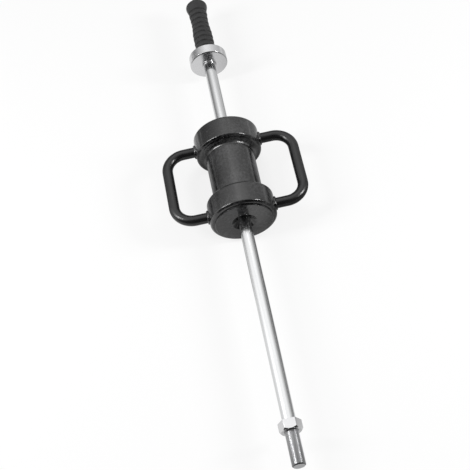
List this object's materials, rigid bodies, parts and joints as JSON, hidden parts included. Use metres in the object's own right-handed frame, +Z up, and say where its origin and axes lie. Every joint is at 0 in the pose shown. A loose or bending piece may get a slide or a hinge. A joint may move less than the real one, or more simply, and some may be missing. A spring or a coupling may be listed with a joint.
{
  "type": "slide hammer puller",
  "caption": "Two-handled slide hammer: a flanged spool weight slides and spins on a round rod between a lock nut and a stop collar; threaded end, rubber grip.",
  "frame": {"origin": "centre of the flat end face of the rod's threaded end", "axes": "+X along the rod from the thread to the grip; the two handles lie level along +Y and -Y; +Z up, with the tool lying on its two round flanges"},
  "size_m": [0.8945, 0.2246, 0.1064],
  "materials": {
    "polished_steel": "ground and polished steel bar",
    "plated_steel": "bright plated steel",
    "plain_steel": "plain machined steel",
    "bronze": "sintered bronze",
    "core_plastic": "moulded hard core",
    "grip_rubber": "matt black rubber",
    "black_paint": "semi-gloss black paint with a fine texture",
    "handle_black": "gloss black paint"
  },
  "bodies": {
    "rod": {"rod": "polished_steel", "stop_collar": "plated_steel", "collar_nut": "plain_steel", "grip_core": "core_plastic", "grip": "grip_rubber", "end_washer": "plated_steel", "end_cap_nut": "plated_steel"},
    "lock_nut": {"lock_nut": "plated_steel"},
    "guide": {"guide_sleeve": "plain_steel", "bush_lower": "bronze", "bush_upper": "bronze"},
    "weight": {"barrel": "black_paint", "flange_lower": "black_paint", "flange_upper": "black_paint", "end_plate_lower": "black_paint", "end_plate_upper": "black_paint", "barrel_weld_lower": "black_paint", "barrel_weld_upper": "black_paint", "circlip_lower": "plain_steel", "circlip_upper": "plain_steel", "handle_left": "handle_black", "handle_right": "handle_black", "handle_weld_left_lower": "black_paint", "handle_weld_left_upper": "black_paint", "handle_weld_right_lower": "black_paint", "handle_weld_right_upper": "black_paint"}
  },
  "joints": [
    {"name": "weight_slide", "type": "slide", "parent": "rod", "child": "guide", "axis": [1, 0, 0], "range_m": [-0.3421, 0.1549]},
    {"name": "weight_spin", "type": "hinge", "parent": "guide", "child": "weight", "pos_m": [0.49325, 0, 0], "axis": [1, 0, 0], "continuous": true},
    {"name": "lock_nut_travel", "type": "slide", "parent": "rod", "child": "lock_nut", "axis": [1, 0, 0], "range_m": [-0.05, 0]}
  ]
}
